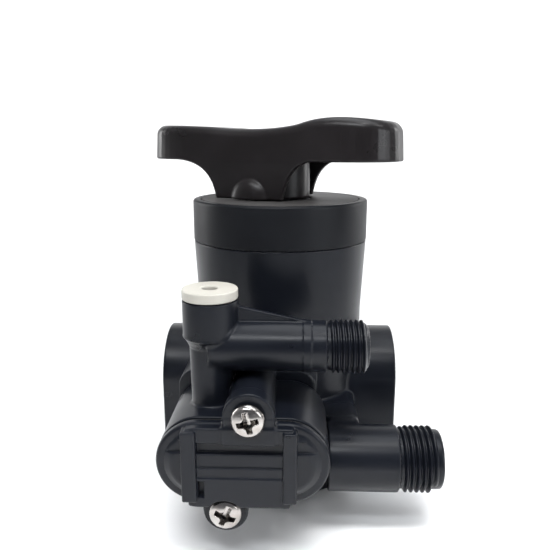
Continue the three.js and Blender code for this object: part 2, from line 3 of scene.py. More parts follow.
import bpy
import numpy as np
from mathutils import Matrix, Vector


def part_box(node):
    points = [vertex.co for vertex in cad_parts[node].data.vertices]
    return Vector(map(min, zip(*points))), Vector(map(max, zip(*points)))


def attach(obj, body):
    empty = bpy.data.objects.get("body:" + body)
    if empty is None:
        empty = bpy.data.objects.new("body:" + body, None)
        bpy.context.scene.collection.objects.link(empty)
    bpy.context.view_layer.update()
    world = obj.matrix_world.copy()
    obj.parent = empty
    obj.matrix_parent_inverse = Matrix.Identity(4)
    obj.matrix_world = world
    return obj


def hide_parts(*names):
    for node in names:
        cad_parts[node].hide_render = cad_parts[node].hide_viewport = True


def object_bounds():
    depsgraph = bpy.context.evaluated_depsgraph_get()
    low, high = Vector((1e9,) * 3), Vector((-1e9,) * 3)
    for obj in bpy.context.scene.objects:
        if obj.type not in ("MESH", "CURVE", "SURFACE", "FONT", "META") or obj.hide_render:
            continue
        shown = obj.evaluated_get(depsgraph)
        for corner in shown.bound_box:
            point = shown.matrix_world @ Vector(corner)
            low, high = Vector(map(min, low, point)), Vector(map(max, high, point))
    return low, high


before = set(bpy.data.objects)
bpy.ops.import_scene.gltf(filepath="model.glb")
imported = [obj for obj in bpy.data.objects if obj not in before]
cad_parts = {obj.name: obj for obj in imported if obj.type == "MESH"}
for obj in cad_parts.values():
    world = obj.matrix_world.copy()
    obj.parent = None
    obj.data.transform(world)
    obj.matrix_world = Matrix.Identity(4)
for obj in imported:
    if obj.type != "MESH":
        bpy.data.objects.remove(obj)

cad_low, cad_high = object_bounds()

MM = 1000.0  # shapes are worked out in millimetres and made in metres


def node_box(name):
    low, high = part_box(name)
    return np.array(low) * MM, np.array(high) * MM


def centre_of(name):
    low, high = node_box(name)
    return (low + high) / 2


# ---- distance fields -----------------------------------------------------------------------
# A field takes points as three arrays and gives the distance to the surface, negative inside.
X, Y, Z = 0, 1, 2


def hyp(a, b):
    return np.sqrt(a * a + b * b)


def corner(a, b, e=0.0):
    """What is inside both a and b, with the edge between them rounded to e."""
    if e == 0:
        return np.maximum(a, b)
    return np.minimum(np.maximum(a, b), -e) + hyp(np.maximum(a + e, 0), np.maximum(b + e, 0))


def weld(a, b, e=0.0):
    """What is inside a or b, with a fillet of radius e where they meet."""
    if e == 0:
        return np.minimum(a, b)
    return np.maximum(np.minimum(a, b), e) - hyp(np.maximum(e - a, 0), np.maximum(e - b, 0))


def carve(a, b, e=0.0):
    """a with b taken out, and the rim rounded to e."""
    return corner(a, -b, e)


def span(v, low, high):
    return np.abs(v - (low + high) / 2) - (high - low) / 2


def rod(p, axis, centre, r, low, high, e=0.3):
    """A round bar along an axis. centre is its place on the other two axes, in order."""
    u, v = [p[i] for i in range(3) if i != axis]
    return corner(hyp(u - centre[0], v - centre[1]) - r, span(p[axis], low, high), e)


def cone(p, axis, centre, r_low, r_high, low, high, e=0.3):
    """A round bar whose radius changes evenly from one end to the other."""
    u, v = [p[i] for i in range(3) if i != axis]
    slope = (r_high - r_low) / (high - low)
    side = (hyp(u - centre[0], v - centre[1]) - r_low - slope * (p[axis] - low)) / math.hypot(1, slope)
    return corner(side, span(p[axis], low, high), e)


def block(p, low, high, e=0.3):
    a = span(p[0], low[0], high[0])
    b = span(p[1], low[1], high[1])
    c = span(p[2], low[2], high[2])
    return corner(corner(a, b, e), c, e)


def oval(u, v, half_u, half_v):
    """A flat-sided oval about the origin of u and v."""
    return hyp(np.maximum(np.abs(u) - (half_u - half_v), 0), v) - half_v


def rounded_rectangle(u, v, u0, u1, v0, v1, r):
    a = span(u, u0, u1) + r
    b = span(v, v0, v1) + r
    return np.minimum(np.maximum(a, b), 0) + hyp(np.maximum(a, 0), np.maximum(b, 0)) - r


def bezier(p0, p1, p2, p3, n=14):
    t = np.linspace(0, 1, n, endpoint=False)[:, None]
    p0, p1, p2, p3 = map(np.array, (p0, p1, p2, p3))
    return (1 - t) ** 3 * p0 + 3 * (1 - t) ** 2 * t * p1 + 3 * (1 - t) * t * t * p2 + t ** 3 * p3


class Outline:
    """A closed outline in two coordinates, as a table of distances that is read between its points."""

    def __init__(self, points, step=0.2, margin=9.0):
        points = np.asarray(points, float)
        self.step = step
        self.low = points.min(0) - margin
        size = np.ceil((points.max(0) + margin - self.low) / step).astype(int) + 2
        gu, gv = np.meshgrid(*[self.low[i] + step * np.arange(size[i]) for i in (0, 1)], indexing="ij")
        best = np.full(gu.shape, 1e9)
        inside = np.zeros(gu.shape, bool)
        for a, b in zip(points, np.roll(points, -1, axis=0)):
            du, dv = b - a
            length = du * du + dv * dv
            if length < 1e-12:
                continue
            t = np.clip(((gu - a[0]) * du + (gv - a[1]) * dv) / length, 0, 1)
            best = np.minimum(best, (gu - a[0] - t * du) ** 2 + (gv - a[1] - t * dv) ** 2)
            if dv != 0:
                crosses = (gv >= min(a[1], b[1])) & (gv < max(a[1], b[1]))
                inside ^= crosses & (gu < a[0] + (gv - a[1]) * du / dv)
        self.table = np.where(inside, -np.sqrt(best), np.sqrt(best))

    def __call__(self, u, v):
        last = np.array(self.table.shape) - 1.001
        fu = np.clip((u - self.low[0]) / self.step, 0, last[0])
        fv = np.clip((v - self.low[1]) / self.step, 0, last[1])
        iu, iv = fu.astype(np.int32), fv.astype(np.int32)
        tu, tv = fu - iu, fv - iv
        t = self.table
        return ((t[iu, iv] * (1 - tu) + t[iu + 1, iv] * tu) * (1 - tv)
                + (t[iu, iv + 1] * (1 - tu) + t[iu + 1, iv + 1] * tu) * tv)


# ---- meshes from fields --------------------------------------------------------------------
def evaluate(field, points, chunk=400_000):
    out = np.empty(len(points))
    for i in range(0, len(points), chunk):
        part = points[i:i + chunk]
        out[i:i + chunk] = field((part[:, 0], part[:, 1], part[:, 2]))
    return out


def slope_of(field, points, step):
    """Unit normals of a field, from differences across step."""
    g = np.empty_like(points)
    for axis in range(3):
        ahead, behind = points.copy(), points.copy()
        ahead[:, axis] += step
        behind[:, axis] -= step
        g[:, axis] = evaluate(field, ahead) - evaluate(field, behind)
    return g / np.maximum(np.linalg.norm(g, axis=1, keepdims=True), 1e-9)


def settle(field, points, h, rounds=3):
    """Moves points on to the field's surface."""
    for _ in range(rounds):
        d = np.clip(evaluate(field, points), -h, h)
        points = points - slope_of(field, points, 0.03) * d[:, None]
    return points


CORNERS = [(i, j, k) for i in (0, 1) for j in (0, 1) for k in (0, 1)]
EDGES = [(a, b) for a in range(8) for b in range(a + 1, 8)
         if sum(abs(CORNERS[a][i] - CORNERS[b][i]) for i in range(3)) == 1]


def skin(field, low, high, h):
    """The surface of a field as quads, by surface nets on a grid that is filled only near it."""
    size = 8
    low = np.array(low, float) - 1.3 * h
    blocks = np.ceil((np.array(high, float) + 1.3 * h - low) / (h * size)).astype(int)
    grid = np.empty(tuple(b * n for b in blocks for n in [size]), np.float32)
    ids = np.stack(np.meshgrid(*[np.arange(b) for b in blocks], indexing="ij"), -1).reshape(-1, 3)
    middle = low + (ids + 0.5) * h * size - 0.5 * h
    d = evaluate(field, middle)
    six = grid.reshape(blocks[0], size, blocks[1], size, blocks[2], size).transpose(0, 2, 4, 1, 3, 5)
    six[ids[:, 0], ids[:, 1], ids[:, 2]] = np.sign(d)[:, None, None, None]
    near = ids[np.abs(d) < h * size * 0.87 * 1.25 + h]
    local = np.stack(np.meshgrid(*[np.arange(size)] * 3, indexing="ij"), -1).reshape(-1, 3)
    points = (low + ((near[:, None] * size + local[None]) * h)).reshape(-1, 3)
    six[near[:, 0], near[:, 1], near[:, 2]] = evaluate(field, points).reshape(-1, size, size, size)

    inside = grid < 0
    nx, ny, nz = [n - 1 for n in inside.shape]
    count = sum(inside[i:nx + i, j:ny + j, k:nz + k].astype(np.int8) for i, j, k in CORNERS)
    cells = np.argwhere((count > 0) & (count < 8))
    index = np.full(count.shape, -1, np.int32)
    index[cells[:, 0], cells[:, 1], cells[:, 2]] = np.arange(len(cells))
    value = [grid[cells[:, 0] + i, cells[:, 1] + j, cells[:, 2] + k] for i, j, k in CORNERS]
    total, hits = np.zeros((len(cells), 3)), np.zeros(len(cells))
    for a, b in EDGES:
        mixed = (value[a] < 0) != (value[b] < 0)
        t = np.where(mixed, value[a] / np.where(mixed, value[a] - value[b], 1), 0)
        at = np.array(CORNERS[a]) + t[:, None] * (np.array(CORNERS[b]) - np.array(CORNERS[a]))
        total += np.where(mixed[:, None], at, 0)
        hits += mixed
    vertices = low + (cells + total / hits[:, None]) * h
    quads = []
    for axis in range(3):
        first = np.take(inside, range(inside.shape[axis] - 1), axis)
        second = np.take(inside, range(1, inside.shape[axis]), axis)
        at = np.argwhere(first != second)
        u, v = (axis + 1) % 3, (axis + 2) % 3
        at = at[(at[:, u] > 0) & (at[:, v] > 0)]
        at = at[(at[:, u] < index.shape[u]) & (at[:, v] < index.shape[v])]
        leaving = first[at[:, 0], at[:, 1], at[:, 2]]
        loop = []
        for du, dv in ((1, 1), (0, 1), (0, 0), (1, 0)):
            cell = at.copy()
            cell[:, u] -= du
            cell[:, v] -= dv
            loop.append(index[cell[:, 0], cell[:, 1], cell[:, 2]])
        loop = np.stack(loop, 1)
        loop[~leaving] = loop[~leaving][:, ::-1]
        quads.append(loop)
    return settle(field, vertices, h), np.concatenate(quads), h


def new_object(name, vertices, faces, normals=None):
    mesh = bpy.data.meshes.new(name)
    vertices = np.asarray(vertices, float) / MM
    sides = len(faces[0])
    faces = np.asarray(faces, np.int32)
    mesh.vertices.add(len(vertices))
    mesh.vertices.foreach_set("co", vertices.astype(np.float32).ravel())
    mesh.loops.add(faces.size)
    mesh.loops.foreach_set("vertex_index", faces.ravel())
    mesh.polygons.add(len(faces))
    mesh.polygons.foreach_set("loop_start", np.arange(0, faces.size, sides, dtype=np.int32))
    mesh.update(calc_edges=True)
    mesh.validate()
    mesh.polygons.foreach_set("use_smooth", np.ones(len(mesh.polygons), bool))
    if normals is not None:
        mesh.normals_split_custom_set_from_vertices(normals.tolist())
    obj = bpy.data.objects.new(name, mesh)
    bpy.context.scene.collection.objects.link(obj)
    return obj


def triangles_of(obj):
    mesh = obj.data
    mesh.calc_loop_triangles()
    v = np.empty(len(mesh.vertices) * 3)
    mesh.vertices.foreach_get("co", v)
    t = np.empty(len(mesh.loop_triangles) * 3, np.int32)
    mesh.loop_triangles.foreach_get("vertices", t)
    return v.reshape(-1, 3) * MM, t.reshape(-1, 3)


def moulded(name, field, low, high, h, keep=60_000, extras=(), blur=0.12):
    """A piece from its field: skinned, thinned to about keep triangles, with normals from the field.
    extras are swept ridges, such as screw threads, as (vertices, triangles, normals)."""
    vertices, quads, h = skin(field, low, high, h)
    obj = new_object(name, vertices, quads)
    share = keep / (2 * len(quads))
    if share < 1:
        thin = obj.modifiers.new("thin", "DECIMATE")
        thin.ratio = share
        made = bpy.data.meshes.new_from_object(obj.evaluated_get(bpy.context.evaluated_depsgraph_get()))
        obj.modifiers.clear()
        obj.data = made
    vertices, triangles = triangles_of(obj)
    vertices = settle(field, vertices, h, 2)
    normals = slope_of(field, vertices, blur)
    bpy.data.objects.remove(obj)
    for more_vertices, more_triangles, more_normals in extras:
        triangles = np.concatenate([triangles, more_triangles + len(vertices)])
        vertices = np.concatenate([vertices, more_vertices])
        normals = np.concatenate([normals, more_normals])
    return new_object(name, vertices, triangles, normals)


def thread(axis, centre, root, crest, pitch, start, turns, base, tip, around=72, inward=False):
    """A helical ridge round an axis: its section is a wedge, base wide at the root, tip wide at the crest.
    It rises from nothing over its first third of a turn and sinks again over its last."""
    steps = int(turns * around)
    a = np.arange(steps + 1) * 2 * math.pi / around
    run_in = 0.66 * math.pi
    rise = np.clip(np.minimum(a, a[-1] - a) / run_in, 0.0, 1) ** 0.6
    sunk = -0.12 if inward else 0.12  # how far the ridge's foot goes into the bar
    foot = np.full(len(a), root - sunk)
    ridge = root + (crest - root) * rise
    along = start + pitch * a / (2 * math.pi)
    section = [(foot, -base / 2), (ridge, -tip / 2), (ridge, tip / 2), (foot, base / 2)]
    u, v = [i for i in range(3) if i != axis]
    hand = 1 if axis != Y else -1
    rings = []
    for r, offset in section:
        ring = np.empty((len(a), 3))
        ring[:, axis] = along + offset
        ring[:, u] = centre[0] + r * np.cos(a)
        ring[:, v] = centre[1] + r * np.sin(a) * hand
        rings.append(ring)
    vertices, triangles, normals = [], [], []
    total = 0
    for k in range(4):
        p, q = rings[k], rings[(k + 1) % 4]
        n = np.arange(len(a) - 1)
        m = n + len(a)
        strip = np.concatenate([p, q])
        tri = np.concatenate([np.stack([n, n + 1, m], 1), np.stack([n + 1, m + 1, m], 1)])
        edge = np.gradient(p, axis=0)
        normal = np.cross(q - p, edge)
        normal /= np.maximum(np.linalg.norm(normal, axis=1, keepdims=True), 1e-9)
        vertices.append(strip)
        triangles.append(tri + total)
        normals.append(np.concatenate([normal, normal]))
        total += len(strip)
    vertices, triangles, normals = map(np.concatenate, (vertices, triangles, normals))
    middle = np.zeros(3)
    middle[u], middle[v] = centre
    # every face looks away from the ridge's own middle line
    direction = vertices - middle
    direction[:, axis] = 0
    direction /= np.maximum(np.linalg.norm(direction, axis=1, keepdims=True), 1e-9)
    core = middle + direction * (root + crest) / 2
    core[:, axis] = np.tile(along, 8)
    if ((vertices - core) * normals).sum() < 0:
        normals = -normals
    first = triangles[len(triangles) // 8]
    p, q, r = vertices[first]
    if np.cross(q - p, r - p) @ normals[first[0]] < 0:
        triangles = triangles[:, ::-1]
    return vertices, triangles, normals


# ---- dimensions, from the frame's boxes ----------------------------------------------------
cap_low, cap_high = node_box("cap")
body_low, body_high = node_box("valve_body")
cover_low, cover_high = node_box("injector_cover")
bush_low, bush_high = node_box("column_bush")
dial_low, dial_high = node_box("dial_plate")
screw_top = centre_of("cover_screw_top")
screw_bottom = centre_of("cover_screw_bottom")
drain_axis = centre_of("drain_flow_washer")
brine_axis = centre_of("brine_flow_button")
stem_low, stem_high = node_box("spindle")

CAP_R, CAP_TOP, SEAM = cap_high[0], cap_high[2], body_high[2] + 0.3
DIAL_IN = 11.5  # the dial film's inner radius
PORT_REACH, PORT_Z, PORT_R = -body_low[0], 34.5, 17.75
FLANGE_TOP, FLANGE_LOW, FLANGE_R, NECK_R, TANK_R = 11.7, 9.4, body_high[1], 35.0, 34.9
BODY_R, BODY_TOP_R, FLARE = 31.0, 32.3, 62.0
DRAIN_END, DRAIN_R, DRAIN_FROM, DRAIN_THREAD = body_high[0], 10.5, 16.8, 39.4
DRAIN_ROOT = 9.3  # the bar under the drain's thread
PORT_THREAD_R = 12.1
G_PITCH = 1.814  # 14 threads to the inch
DRAIN_Y, DRAIN_Z = drain_axis[1], drain_axis[2]
BRINE_Y, BRINE_Z = brine_axis[1], brine_axis[2]
COLUMN_X, COLUMN_Y = centre_of("column_bush")[0], centre_of("column_bush")[1]
COLUMN_R, COLUMN_TOP, STEP_Z = 8.3, 78.0, 64.5
HOUSING_X, HOUSING_Z, HALF_W, HALF_H = -8.7, 33.5, 25.2, 12.5
HOUSING_FRONT, HOUSING_BACK = -66.0, -38.3
PAD_FRONT = -38.2
GROOVE_TOP = 40.9
STEPS = ((37.4, 41.3, -69.4), (33.3, 37.4, -71.8), (30.4, 33.3, -72.4), (20.0, 30.4, -73.0))
TURN = math.radians(-24)


# ---- valve body ----------------------------------------------------------------------------
def valve_body(p):
    x, y, z = p
    r = hyp(x, y)
    lower = corner(r - BODY_R, span(z, 8, FLARE + 1))
    slope = (BODY_TOP_R - BODY_R) / (SEAM - FLARE)
    upper = corner((r - BODY_R - slope * np.maximum(z - FLARE, 0)), z - (SEAM - 0.08), 0.3)
    d = corner(upper, 8 - z, 0.3)
    flange = rod(p, Z, (0, 0), FLANGE_R, FLANGE_LOW, FLANGE_TOP, 0.5)
    neck = rod(p, Z, (0, 0), NECK_R, 7.6, FLANGE_TOP - 1, 0.3)
    tank = rod(p, Z, (0, 0), TANK_R, 0, 9, 0.8)
    d = weld(d, flange, 0.8)
    d = np.minimum(d, np.minimum(neck, tank))
    # side ports: round over the top, straight down to the flange
    across = np.where(z > PORT_Z, hyp(y, z - PORT_Z), np.abs(y)) - PORT_R
    port = corner(corner(across, FLANGE_TOP - 0.6 - z), np.abs(x) - PORT_REACH, 0.6)
    d = weld(d, port, 1.0)
    # injector pad and the two screw bosses behind it
    pad = rounded_rectangle(x, z, -33, 13.2, 20.5, 49, 6)
    pad = corner(pad, span(y, PAD_FRONT, -20), 0.5)
    boss_top = rod(p, Y, (screw_top[0], screw_top[2]), 6.6, PAD_FRONT, -20, 0.4)
    boss_low = rod(p, Y, (screw_bottom[0], screw_bottom[2]), 6.0, PAD_FRONT, -20, 0.4)
    pad = weld(pad, np.minimum(boss_top, boss_low), 0.8)
    d = weld(d, pad, 0.9)
    # drain arm and stub
    arm = rounded_rectangle(x, z, 8, 27.6, FLANGE_TOP - 0.5, 33.1, 2.4)
    arm = corner(arm, span(y, PAD_FRONT, -12), 0.5)
    knuckle = rounded_rectangle(x, z, DRAIN_FROM, 27.6, DRAIN_Z - 6, 33.1, 2.4)
    knuckle = corner(knuckle, span(y, DRAIN_Y - 1, -28), 0.5)
    stub = rod(p, X, (DRAIN_Y, DRAIN_Z), DRAIN_R, DRAIN_FROM, DRAIN_THREAD - 0.4, 0.5)
    nose = cone(p, X, (DRAIN_Y, DRAIN_Z), DRAIN_ROOT, DRAIN_ROOT, DRAIN_THREAD - 1, DRAIN_END, 0.9)
    d = weld(d, arm, 0.9)
    d = weld(d, weld(knuckle, stub, 1.2), 0.9)
    d = np.minimum(d, nose)
    # passages
    bore = rod(p, Z, (0, 0), 29.6, 76.5, SEAM + 5, 0)
    chamber = rod(p, Z, (0, 0), 27.2, 57.5, SEAM + 5, 0)
    socket = corner(hyp(y, z - PORT_Z) - PORT_THREAD_R, (PORT_REACH - 18) - np.abs(x))
    mouth = (hyp(y, z - PORT_Z) - PORT_THREAD_R - np.maximum(np.abs(x) - (PORT_REACH - 1.1), 0)) * 0.71
    socket = np.minimum(socket, corner(mouth, PORT_REACH - 2 - np.abs(x)))
    duct = corner(hyp(y, z - PORT_Z) - 8, 10 - np.abs(x))
    riser = rod(p, Z, (0, 0), 13.5, -5, 19, 0)
    groove = corner(span(r, 18, 30), z - 6)
    drain = rod(p, X, (DRAIN_Y, DRAIN_Z), 6.5, DRAIN_FROM + 4, DRAIN_END + 5, 0)
    for hollow in (np.minimum(chamber, bore), socket, duct, riser, groove, drain):
        d = carve(d, hollow, 0.35)
    return d


drain_thread = thread(X, (DRAIN_Y, DRAIN_Z), DRAIN_ROOT, 10.4, G_PITCH, DRAIN_THREAD + 0.7, 5.6, 1.7, 0.35)
tank_thread = thread(Z, (0, 0), TANK_R, 36.4, 3.175, 1.6, 1.7, 2.6, 0.7, around=96)
port_threads = [
    thread(X, (0, PORT_Z), PORT_THREAD_R, PORT_THREAD_R - 1, G_PITCH,
           side * (PORT_REACH - 9) - 7, 7.6, 1.7, 0.3, inward=True)
    for side in (-1, 1)]
body = moulded("valve_body_shell", valve_body, body_low - 0.2, body_high + 0.2, 0.62, 110_000,
               [drain_thread, tank_thread, *port_threads])
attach(body, "valve")
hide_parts("valve_body")


# ---- cap and dial --------------------------------------------------------------------------
def cap(p):
    x, y, z = p
    r = hyp(x, y)
    d = corner(corner(r - CAP_R, z - CAP_TOP, 0.9), SEAM - z, 0.3)
    d = weld(d, rod(p, Z, (0, 0), 29.2, 77, SEAM + 3, 0.3), 0.2)
    recess = corner(span(r, DIAL_IN - 0.3, dial_high[0] + 0.25), CAP_TOP - 0.9 - z)
    under = corner(r - 26, z - 92.6)
    bore = r - 7.3
    for hollow in (recess, under, bore):
        d = carve(d, hollow, 0.2)
    return d


cap_piece = moulded("top_cap", cap, cap_low - 0.2, cap_high + 0.2, 0.6, 40_000)
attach(cap_piece, "valve")
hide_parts("cap")


# ---- handle --------------------------------------------------------------------------------
LEFT, RIGHT, LOBE_UNDER, SKIRT = -51.0, 45.2, 116.8, 103.2
STEM_LEFT, STEM_RIGHT, ARCH = -19.0, 7.4, 12.5
top_line = np.concatenate([
    [[-80, 129.4]], [[LEFT, 129.4]], bezier((LEFT + 5, 129.4), (-36, 129.3), (-30, 129.0), (-22, 128.6)),
    bezier((-22, 128.6), (-8, 127.2), (4, 127.6), (12, 129.2)),
    bezier((12, 129.2), (22, 132.4), (32, 131.2), (RIGHT - 6, 130.3)), [[RIGHT, 129.4], [80, 129.4]]])
under_line = np.concatenate([
    [[-80, LOBE_UNDER]], bezier((STEM_LEFT - ARCH - 4, LOBE_UNDER), (STEM_LEFT - 4.5, LOBE_UNDER - 0.5),
                                (STEM_LEFT - 1.2, 110), (STEM_LEFT, SKIRT - 0.02)),
    [[STEM_LEFT, SKIRT], [STEM_RIGHT, SKIRT]],
    bezier((STEM_RIGHT, SKIRT + 0.02), (STEM_RIGHT + 1.2, 110), (STEM_RIGHT + 4, LOBE_UNDER - 0.4),
           (STEM_RIGHT + ARCH, LOBE_UNDER)), [[80, LOBE_UNDER]]])
top_side = Outline(np.concatenate([top_line, [[80, 60], [-80, 60]]]), 0.25, 12)
under_side = Outline(np.concatenate([under_line, [[80, 150], [-80, 150]]]), 0.25, 12)


def plan_outline(w=16.0):
    half = np.concatenate([
        bezier((LEFT, 0), (LEFT, w * 0.92), (LEFT + 10, w), (-22, w - 1)),
        bezier((-22, w - 1), (-8, w - 2), (6, w - 2), (18, w - 0.6)),
        bezier((18, w - 0.6), (30, w), (RIGHT, w * 0.92), (RIGHT, 0))])
    return np.concatenate([half, (half * [1, -1])[::-1]])


plan_side = Outline(plan_outline(), 0.25, 12)


def handle(p):
    x, y, z = p
    c, s = math.cos(TURN), math.sin(TURN)
    u, v = x * c + y * s, y * c - x * s
    plan = plan_side(u, v)
    roof = top_side(u, z)
    foot = under_side(u, z)
    # walls lean in a little towards the top, as the mould's draft does
    plan = plan + 0.06 * np.maximum(z - 116, 0) - 0.4
    outer = corner(corner(plan, roof, 3.4), foot, 0.7)
    inner = corner(corner(plan + 2.6, roof + 2.6, 2.5), foot - 3, 0)
    shell = carve(outer, inner, 0.6)
    hub = hyp(u, v) - 11.0
    hub = corner(hub, span(z, SKIRT + 0.02, 127), 0.5)
    webs = np.minimum(corner(corner(span(u, -18, 22), np.abs(v) - 1.1, 0.3), span(z, 118, 127), 0.3),
                      corner(corner(np.abs(u) - 1.1, np.abs(v) - 14.2, 0.3), span(z, 106, 127), 0.3))
    inside = corner(corner(weld(hub, webs, 0.8), plan + 1.5), roof + 1.2)
    d = weld(shell, inside, 0.6)
    dome = np.sqrt((u + 5.3) ** 2 + ((v + 13.0) * 1.8) ** 2 + (z - 103.2) ** 2) - 7.9
    dome = corner(corner(dome * 0.7, SKIRT + 0.05 - z, 0.3), v + 11)
    d = weld(d, dome, 0.35)
    square = corner(corner(np.abs(u) - 4.95, np.abs(v) - 4.95, 0.3), z - 118.8)
    d = carve(d, square, 0.2)
    d = carve(d, corner(hyp(u, v) - 2.8, span(z, 117, 130)), 0.1)
    return carve(d, corner(hyp(u, v) - 5.6, 120.8 - z), 0.3)


handle_low, handle_high = node_box("handle")
handle_piece = moulded("lever_handle", handle, handle_low - 0.3, handle_high + 0.3, 0.55, 90_000,
                       blur=0.3)
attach(handle_piece, "handle")
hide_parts("handle")


# ---- injector ------------------------------------------------------------------------------
def injector_body(p):
    x, y, z = p
    u, v = x - HOUSING_X, z - HOUSING_Z
    housing = corner(oval(u, v, HALF_W, HALF_H), span(y, HOUSING_FRONT, HOUSING_BACK), 0.5)
    top = rod(p, Y, (screw_top[0], screw_top[2]), 6.6, HOUSING_FRONT, HOUSING_BACK, 0.5)
    neck = block(p, (screw_top[0] - 5, HOUSING_FRONT, HOUSING_Z),
                 (screw_top[0] + 5, HOUSING_BACK, screw_top[2]), 0.3)
    low = rod(p, Y, (screw_bottom[0], screw_bottom[2]), 6.0, HOUSING_FRONT, HOUSING_BACK, 0.5)
    low_neck = block(p, (screw_bottom[0] - 5, HOUSING_FRONT, screw_bottom[2]),
                     (screw_bottom[0] + 5, HOUSING_BACK, HOUSING_Z), 0.3)
    d = weld(housing, weld(np.minimum(top, neck), np.minimum(low, low_neck), 0.3), 1.2)
    lower = cone(p, Z, (COLUMN_X, COLUMN_Y), 6.1, 6.5, 40, STEP_Z + 1, 0.1)
    step = cone(p, Z, (COLUMN_X, COLUMN_Y), 6.4, COLUMN_R, STEP_Z - 0.4, STEP_Z + 2.6, 0.1)
    upper = rod(p, Z, (COLUMN_X, COLUMN_Y), COLUMN_R, STEP_Z + 2.4, COLUMN_TOP, 0.25)
    column = weld(weld(lower, step, 0.6), upper, 0.4)
    pipe = rod(p, X, (BRINE_Y, BRINE_Z), 7.7, COLUMN_X, 15.4, 0.3)
    core = cone(p, X, (BRINE_Y, BRINE_Z), 7.08, 7.08, 14, 27.0, 0.3)
    nose = cone(p, X, (BRINE_Y, BRINE_Z), 7.08, 6.2, 26.6, 27.8, 0.2)
    collar = rod(p, X, (BRINE_Y, BRINE_Z), 7.92, 8.4, 11.0, 0.2)
    pipe = np.minimum(weld(pipe, collar, 0.15), weld(core, nose, 0.2))
    slant = ((z - 71.4) * (10.5 + 10.9) - (10.5 - x) * (76 - 71.4)) / math.hypot(21.4, 4.6)
    web = corner(corner(slant, span(x, COLUMN_X, 10.5), 0.2), np.abs(y - COLUMN_Y) - 0.9, 0.3)
    web = corner(web, BRINE_Z - z)
    d = weld(d, column, 0.9)
    d = weld(d, weld(pipe, web, 0.5), 0.8)
    # a web behind the pipe, between it, the column and the top boss
    behind = block(p, (COLUMN_X, -47, HOUSING_Z), (screw_top[0], -43.5, BRINE_Z - 2), 0.4)
    d = weld(d, behind, 0.8)
    cavity = corner(oval(u, v, HALF_W - 3.2, HALF_H - 3.2), span(y, -80, HOUSING_BACK - 4))
    shaft = rod(p, Z, (COLUMN_X, COLUMN_Y), 4.0, 44, COLUMN_TOP + 4, 0)
    cup = rod(p, Z, (COLUMN_X, COLUMN_Y), 6.2, COLUMN_TOP - 7, COLUMN_TOP + 4, 0)
    brine = rod(p, X, (BRINE_Y, BRINE_Z), 4.6, COLUMN_X, 34, 0)
    for hollow in (cavity, np.minimum(shaft, cup), brine):
        d = carve(d, hollow, 0.3)
    return d


brine_thread = thread(X, (BRINE_Y, BRINE_Z), 7.08, 8.0, 1.5, 16.5, 6.9, 1.4, 0.3)
injector_low, injector_high = node_box("injector_body")
injector = moulded("injector_housing", injector_body, injector_low - 0.2, injector_high + 0.2, 0.45, 80_000,
                   [brine_thread])
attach(injector, "valve")
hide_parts("injector_body")


def injector_cover(p):
    x, y, z = p
    back = HOUSING_FRONT - 0.9
    u, v = x - HOUSING_X, z - HOUSING_Z
    plate = corner(oval(u, v, HALF_W, HALF_H), span(y, back - 3, back), 1.1)

    def ear(at, r, seat, lean):
        round_part = rod(p, Y, (at[0], at[2]), r, seat, back, 0.5)
        z0, z1 = sorted((at[2], at[2] + lean))
        return weld(round_part, block(p, (at[0] - r, seat, z0), (at[0] + r, back, z1), 0.4), 0.3)

    field = oval(u, v, HALF_W - 0.8, HALF_H - 0.4)
    # outside the ribs the face falls away to the rim in a broad bevel
    bevel = 0.575 * (oval(u, v, HALF_W, HALF_H) + 0.6) - 0.819 * (y + 68.6)
    bevel = np.where((x < -24.6) | (x > 5.8), bevel, -9.0)
    upper = corner(corner(field, GROOVE_TOP - z, 0.25), span(y, -72.3, back), 0.45)
    d = weld(plate, corner(upper, bevel, 0.3), 0.3)
    for z0, z1, front in STEPS:
        step = corner(corner(field, span(z, z0, z1 + 0.02), 0.15), span(y, front, back), 0.2)
        d = np.minimum(d, corner(step, span(x, -24, 5), 0.1))
    for z0, z1, front in ((37.4, 41.3, -70.4), (20.0, 37.4, -71.6)):
        end = corner(corner(field, span(z, z0, z1 + 0.02), 0.3), span(y, front, back), 0.3)
        d = np.minimum(d, corner(end, bevel, 0.4))
    bottom_ear = ear(screw_bottom, 6.6, -69.4, 6)
    d = weld(weld(d, ear(screw_top, 7.3, -72.3, -8), 1.4), bottom_ear, 0.9)
    for x0, x1 in ((-25.8, -21.5), (3.0, 6.9)):
        rib = block(p, (x0, -73.8, HOUSING_Z - HALF_H + 2.2), (x1, back, HOUSING_Z + HALF_H - 1.2), 0.45)
        d = weld(d, rib, 0.3)
    slot = block(p, (-21.2, -80, 24.4), (-19.5, -70.8, 29.5), 0.2)
    d = carve(d, slot, 0.2)
    sink = rod(p, Y, (screw_bottom[0], screw_bottom[2]), 5.6, -90, -69.4, 0)
    d = carve(d, sink, 0.3)
    for at in (screw_top, screw_bottom):
        d = carve(d, hyp(x - at[0], z - at[2]) - 2.25, 0.2)
    return d


cover = moulded("injector_front_cover", injector_cover, cover_low - 0.2, cover_high + 0.2, 0.36, 70_000)
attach(cover, "valve")
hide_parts("injector_cover")


